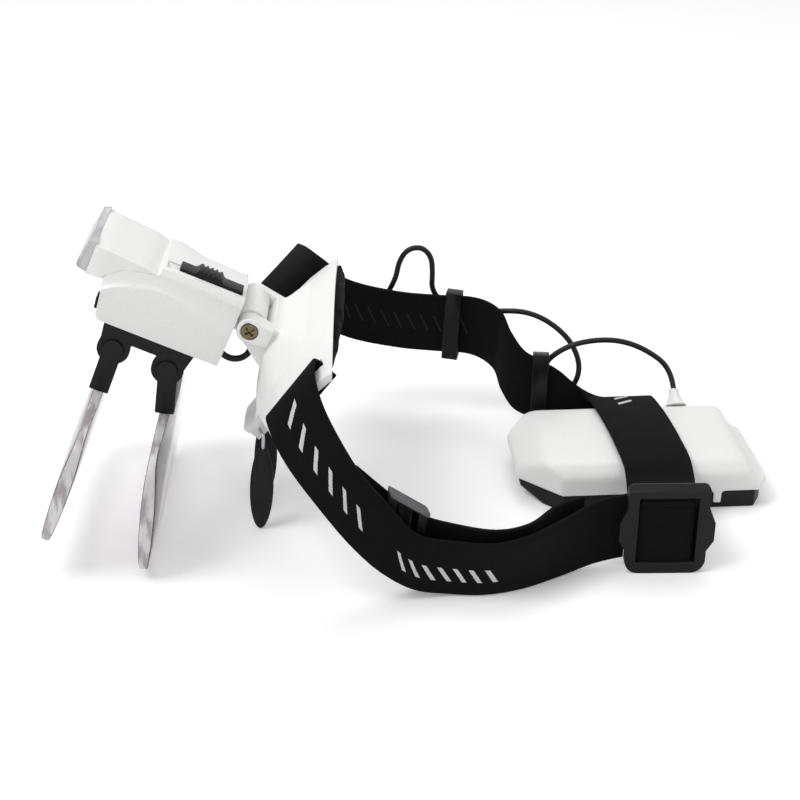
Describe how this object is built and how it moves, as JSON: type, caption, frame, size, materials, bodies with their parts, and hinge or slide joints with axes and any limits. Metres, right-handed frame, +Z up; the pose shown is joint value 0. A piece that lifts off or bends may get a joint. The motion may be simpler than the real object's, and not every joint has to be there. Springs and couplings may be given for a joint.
{
  "type": "head visor magnifier",
  "caption": "Head-worn magnifier: hinged visor with a slide switch, lamp and two flip lenses on an elastic strap with a battery box at the back.",
  "frame": {"origin": "middle of the bounding box at table height, the part lying as it is put down", "axes": "+X from the lamp back to the battery box, +Y from the near to the far side of the band, +Z up"},
  "size_m": [0.2606, 0.1504, 0.1139],
  "materials": {
    "white_plastic": "satin moulded",
    "black_plastic": "satin moulded",
    "clear_plastic": "clear",
    "lens": "polished clear",
    "board": "varnished board",
    "lamp": "clear lamp body",
    "bright": "metallised",
    "steel": "plain",
    "screw_metal": "yellow zinc",
    "foam": "covered foam",
    "soft_rubber": "soft matt",
    "webbing": "woven elastic",
    "cell_case": "printed sleeve, plain",
    "cable_jacket": "smooth jacket"
  },
  "bodies": {
    "headband": {"forehead_shell": "white_plastic", "forehead_pad": "foam", "hinge_screw": "screw_metal", "hinge_nut": "screw_metal", "nose_bridge": "white_plastic", "nose_wire_near": "steel", "nose_wire_far": "steel", "strap_near": "webbing", "strap_near_inner": "webbing", "strap_far": "webbing", "buckle": "black_plastic", "strap_adjuster": "black_plastic", "clip_front": "black_plastic", "clip_rear": "black_plastic", "box_lid": "white_plastic", "cells": "cell_case", "contact_springs": "steel", "contact_plates": "steel", "cable_gland": "white_plastic", "cable": "cable_jacket"},
    "visor": {"lower_housing": "white_plastic", "upper_housing": "white_plastic", "lamp_hood": "white_plastic", "lamp_lens": "clear_plastic", "led_board": "board", "leds": "lamp", "reflector": "bright", "switch_body": "black_plastic", "lens_holder": "black_plastic", "front_pin": "black_plastic", "rear_pin": "black_plastic", "holder_screw": "steel", "front_plate": "black_plastic", "hinge_cable": "cable_jacket"},
    "switch": {"switch_knob": "black_plastic"},
    "front_arm": {"front_arm": "black_plastic"},
    "rear_arm": {"rear_arm": "black_plastic"},
    "front_lens": {"front_lens": "lens"},
    "rear_lens": {"rear_lens": "lens"},
    "near_pad": {"nose_pad_near": "soft_rubber"},
    "far_pad": {"nose_pad_far": "soft_rubber"},
    "box_base": {"box_base": "black_plastic"}
  },
  "joints": [
    {"name": "visor_tilt", "type": "hinge", "parent": "headband", "child": "visor", "pos_m": [-0.05765, -0.01255, 0.0812], "axis": [0, 1, 0], "range_deg": [-8, 60]},
    {"name": "front_arm_flip", "type": "hinge", "parent": "visor", "child": "front_arm", "pos_m": [-0.10421, -0.01255, 0.07479], "axis": [0, 1, 0], "range_deg": [-5, 80]},
    {"name": "rear_arm_flip", "type": "hinge", "parent": "visor", "child": "rear_arm", "pos_m": [-0.08644, -0.01255, 0.06677], "axis": [0, 1, 0], "range_deg": [-20, 10]},
    {"name": "front_lens_pull", "type": "slide", "parent": "front_arm", "child": "front_lens", "axis": [-0.3795, 0, -0.9252], "range_m": [0, 0.012]},
    {"name": "rear_lens_pull", "type": "slide", "parent": "rear_arm", "child": "rear_lens", "axis": [-0.1444, 0, -0.9895], "range_m": [0, 0.012]},
    {"name": "switch_slide", "type": "slide", "parent": "visor", "child": "switch", "axis": [-0.9114, 0, 0.4115], "range_m": [0, 0.004]},
    {"name": "near_pad_turn", "type": "hinge", "parent": "headband", "child": "near_pad", "pos_m": [-0.05645, -0.02415, 0.0172], "axis": [0.0698, 0, 0.9976], "range_deg": [-15, 15]},
    {"name": "far_pad_turn", "type": "hinge", "parent": "headband", "child": "far_pad", "pos_m": [-0.05645, -0.00095, 0.0172], "axis": [0.0698, 0, 0.9976], "range_deg": [-15, 15]},
    {"name": "base_release", "type": "slide", "parent": "headband", "child": "box_base", "axis": [0, 0, -1], "range_m": [0, 0.012]}
  ]
}
